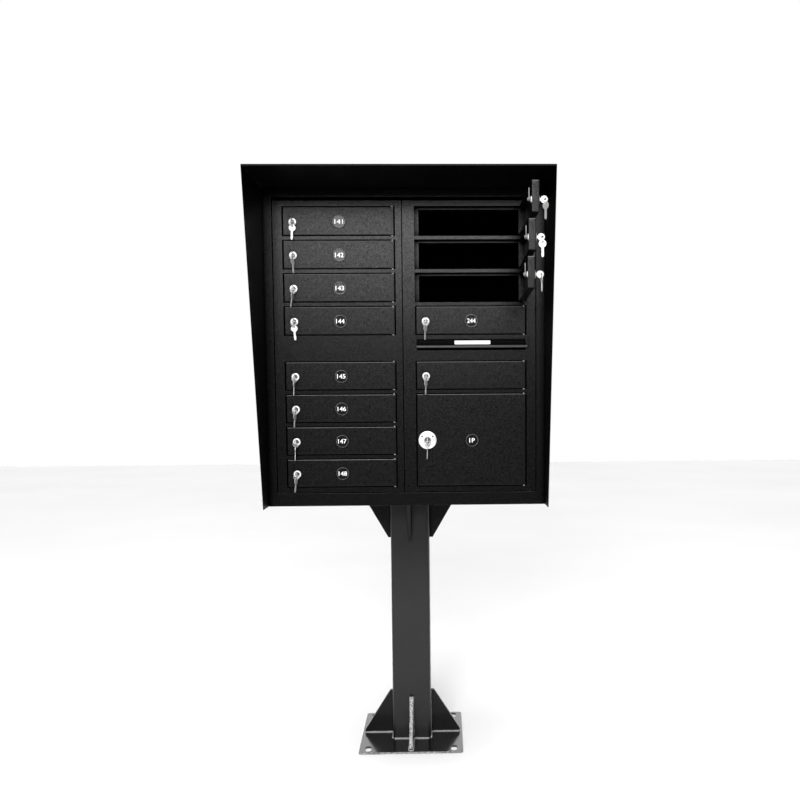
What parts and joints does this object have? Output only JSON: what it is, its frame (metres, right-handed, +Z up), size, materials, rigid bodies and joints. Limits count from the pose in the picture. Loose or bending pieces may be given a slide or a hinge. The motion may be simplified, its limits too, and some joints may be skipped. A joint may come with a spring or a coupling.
{
  "type": "cluster mailbox unit",
  "caption": "Two-column cabinet of locking mail compartments with a tapered hood, outgoing mail slot and parcel locker, on a welded pedestal.",
  "frame": {"origin": "centre of the pedestal's foot plate, on the ground", "axes": "+Z up; -Y towards the front, the side the doors are on; +X to the viewer's right, towards the column with the parcel locker"},
  "size_m": [0.775, 0.6902, 1.61],
  "materials": {
    "powder_coat": "black fine-texture powder coat, semi-matt",
    "rack_paint": "black paint, matt",
    "satin_paint": "black powder coat, satin",
    "chrome": "bright plated",
    "zinc_steel": "zinc plated"
  },
  "bodies": {
    "cabinet": {"side_panel_left": "powder_coat", "side_panel_right": "powder_coat", "roof_panel": "powder_coat", "floor_panel": "powder_coat", "rear_panel": "powder_coat", "face_frame": "powder_coat", "left_hinge_rod": "zinc_steel", "right_hinge_rod": "zinc_steel", "left_rack": "rack_paint", "right_rack": "rack_paint", "pedestal_post": "satin_paint", "pedestal_foot": "satin_paint", "pedestal_head": "satin_paint"},
    "left_loading_door": {"left_loading_door": "powder_coat"},
    "right_loading_door": {"right_loading_door": "powder_coat", "mail_slot_baffle": "rack_paint"},
    "mail_slot_flap": {"mail_slot_flap": "powder_coat"},
    "master_latch_bar": {"master_latch_bar": "zinc_steel"},
    "door_141": {"door_141": "powder_coat", "lock_141": "chrome"},
    "plug_141": {"plug_141": "chrome"},
    "door_142": {"door_142": "powder_coat", "lock_142": "chrome"},
    "plug_142": {"plug_142": "chrome"},
    "door_143": {"door_143": "powder_coat", "lock_143": "chrome"},
    "plug_143": {"plug_143": "chrome"},
    "door_144": {"door_144": "powder_coat", "lock_144": "chrome"},
    "plug_144": {"plug_144": "chrome"},
    "door_145": {"door_145": "powder_coat", "lock_145": "chrome"},
    "plug_145": {"plug_145": "chrome"},
    "door_146": {"door_146": "powder_coat", "lock_146": "chrome"},
    "plug_146": {"plug_146": "chrome"},
    "door_147": {"door_147": "powder_coat", "lock_147": "chrome"},
    "plug_147": {"plug_147": "chrome"},
    "door_148": {"door_148": "powder_coat", "lock_148": "chrome"},
    "plug_148": {"plug_148": "chrome"},
    "door_241": {"door_241": "powder_coat", "lock_241": "chrome"},
    "plug_241": {"plug_241": "chrome"},
    "door_242": {"door_242": "powder_coat", "lock_242": "chrome"},
    "plug_242": {"plug_242": "chrome"},
    "door_243": {"door_243": "powder_coat", "lock_243": "chrome"},
    "plug_243": {"plug_243": "chrome"},
    "door_244": {"door_244": "powder_coat", "lock_244": "chrome"},
    "plug_244": {"plug_244": "chrome"},
    "outgoing_door": {"outgoing_door": "powder_coat", "lock_outgoing": "chrome"},
    "plug_outgoing": {"plug_outgoing": "chrome"},
    "parcel_door": {"parcel_door": "powder_coat", "lock_parcel": "chrome"},
    "plug_parcel": {"plug_parcel": "chrome"}
  },
  "joints": [
    {"name": "left_loading_hinge", "type": "hinge", "parent": "cabinet", "child": "left_loading_door", "pos_m": [-0.3543, -0.1926, 1.17425], "axis": [0, 0, -1], "range_deg": [0, 85]},
    {"name": "right_loading_hinge", "type": "hinge", "parent": "cabinet", "child": "right_loading_door", "pos_m": [0.3543, -0.1926, 1.17425], "axis": [0, 0, 1], "range_deg": [0, 8]},
    {"name": "mail_slot_flap_hinge", "type": "hinge", "parent": "right_loading_door", "child": "mail_slot_flap", "pos_m": [0.181, -0.195, 1.195], "axis": [-1, 0, 0], "range_deg": [0, 75]},
    {"name": "master_latch_slide", "type": "slide", "parent": "right_loading_door", "child": "master_latch_bar", "axis": [0, 0, 1], "range_m": [0, 0.014]},
    {"name": "door_141_hinge", "type": "hinge", "parent": "left_loading_door", "child": "door_141", "pos_m": [-0.0335, -0.193, 1.51935], "axis": [0, 0, 1], "range_deg": [0, 110]},
    {"name": "plug_141_turn", "type": "hinge", "parent": "door_141", "child": "plug_141", "pos_m": [-0.305, -0.198, 1.51685], "axis": [0, -1, 0], "range_deg": [0, 90]},
    {"name": "door_142_hinge", "type": "hinge", "parent": "left_loading_door", "child": "door_142", "pos_m": [-0.0335, -0.193, 1.42935], "axis": [0, 0, 1], "range_deg": [0, 110]},
    {"name": "plug_142_turn", "type": "hinge", "parent": "door_142", "child": "plug_142", "pos_m": [-0.305, -0.198, 1.42685], "axis": [0, -1, 0], "range_deg": [0, 90]},
    {"name": "door_143_hinge", "type": "hinge", "parent": "left_loading_door", "child": "door_143", "pos_m": [-0.0335, -0.193, 1.33935], "axis": [0, 0, 1], "range_deg": [0, 110]},
    {"name": "plug_143_turn", "type": "hinge", "parent": "door_143", "child": "plug_143", "pos_m": [-0.305, -0.198, 1.33685], "axis": [0, -1, 0], "range_deg": [0, 90]},
    {"name": "door_144_hinge", "type": "hinge", "parent": "left_loading_door", "child": "door_144", "pos_m": [-0.0335, -0.193, 1.24935], "axis": [0, 0, 1], "range_deg": [0, 110]},
    {"name": "plug_144_turn", "type": "hinge", "parent": "door_144", "child": "plug_144", "pos_m": [-0.305, -0.198, 1.24685], "axis": [0, -1, 0], "range_deg": [0, 90]},
    {"name": "door_145_hinge", "type": "hinge", "parent": "left_loading_door", "child": "door_145", "pos_m": [-0.0335, -0.193, 1.09835], "axis": [0, 0, 1], "range_deg": [0, 110]},
    {"name": "plug_145_turn", "type": "hinge", "parent": "door_145", "child": "plug_145", "pos_m": [-0.305, -0.198, 1.09585], "axis": [0, -1, 0], "range_deg": [0, 90]},
    {"name": "door_146_hinge", "type": "hinge", "parent": "left_loading_door", "child": "door_146", "pos_m": [-0.0335, -0.193, 1.00835], "axis": [0, 0, 1], "range_deg": [0, 110]},
    {"name": "plug_146_turn", "type": "hinge", "parent": "door_146", "child": "plug_146", "pos_m": [-0.305, -0.198, 1.00585], "axis": [0, -1, 0], "range_deg": [0, 90]},
    {"name": "door_147_hinge", "type": "hinge", "parent": "left_loading_door", "child": "door_147", "pos_m": [-0.0335, -0.193, 0.91835], "axis": [0, 0, 1], "range_deg": [0, 110]},
    {"name": "plug_147_turn", "type": "hinge", "parent": "door_147", "child": "plug_147", "pos_m": [-0.305, -0.198, 0.91585], "axis": [0, -1, 0], "range_deg": [0, 90]},
    {"name": "door_148_hinge", "type": "hinge", "parent": "left_loading_door", "child": "door_148", "pos_m": [-0.0335, -0.193, 0.82835], "axis": [0, 0, 1], "range_deg": [0, 110]},
    {"name": "plug_148_turn", "type": "hinge", "parent": "door_148", "child": "plug_148", "pos_m": [-0.305, -0.198, 0.82585], "axis": [0, -1, 0], "range_deg": [0, 90]},
    {"name": "door_241_hinge", "type": "hinge", "parent": "right_loading_door", "child": "door_241", "pos_m": [0.3273, -0.193, 1.51935], "axis": [0, 0, 1], "range_deg": [-91, 2]},
    {"name": "plug_241_turn", "type": "hinge", "parent": "door_241", "child": "plug_241", "pos_m": [0.33704, -0.46437, 1.51685], "axis": [0.9998, 0.0175, 0], "range_deg": [0, 90]},
    {"name": "door_242_hinge", "type": "hinge", "parent": "right_loading_door", "child": "door_242", "pos_m": [0.3273, -0.193, 1.42935], "axis": [0, 0, 1], "range_deg": [-89.5, 2]},
    {"name": "plug_242_turn", "type": "hinge", "parent": "door_242", "child": "plug_242", "pos_m": [0.32993, -0.46453, 1.42685], "axis": [1, -0.0087, 0], "range_deg": [0, 90]},
    {"name": "door_243_hinge", "type": "hinge", "parent": "right_loading_door", "child": "door_243", "pos_m": [0.3273, -0.193, 1.33935], "axis": [0, 0, 1], "range_deg": [-89, 2]},
    {"name": "plug_243_turn", "type": "hinge", "parent": "door_243", "child": "plug_243", "pos_m": [0.32756, -0.46455, 1.33685], "axis": [0.9998, -0.0175, 0], "range_deg": [0, 90]},
    {"name": "door_244_hinge", "type": "hinge", "parent": "right_loading_door", "child": "door_244", "pos_m": [0.3273, -0.193, 1.24935], "axis": [0, 0, 1], "range_deg": [0, 98]},
    {"name": "plug_244_turn", "type": "hinge", "parent": "door_244", "child": "plug_244", "pos_m": [0.0558, -0.198, 1.24685], "axis": [0, -1, 0], "range_deg": [0, 90]},
    {"name": "outgoing_door_hinge", "type": "hinge", "parent": "right_loading_door", "child": "outgoing_door", "pos_m": [0.3273, -0.193, 1.09835], "axis": [0, 0, 1], "range_deg": [0, 98]},
    {"name": "plug_outgoing_turn", "type": "hinge", "parent": "outgoing_door", "child": "plug_outgoing", "pos_m": [0.0558, -0.198, 1.09585], "axis": [0, -1, 0], "range_deg": [0, 90]},
    {"name": "parcel_door_hinge", "type": "hinge", "parent": "right_loading_door", "child": "parcel_door", "pos_m": [0.3273, -0.193, 0.91835], "axis": [0, 0, 1], "range_deg": [0, 98]},
    {"name": "plug_parcel_turn", "type": "hinge", "parent": "parcel_door", "child": "plug_parcel", "pos_m": [0.058, -0.198, 0.91835], "axis": [0, -1, 0], "range_deg": [0, 90]}
  ]
}
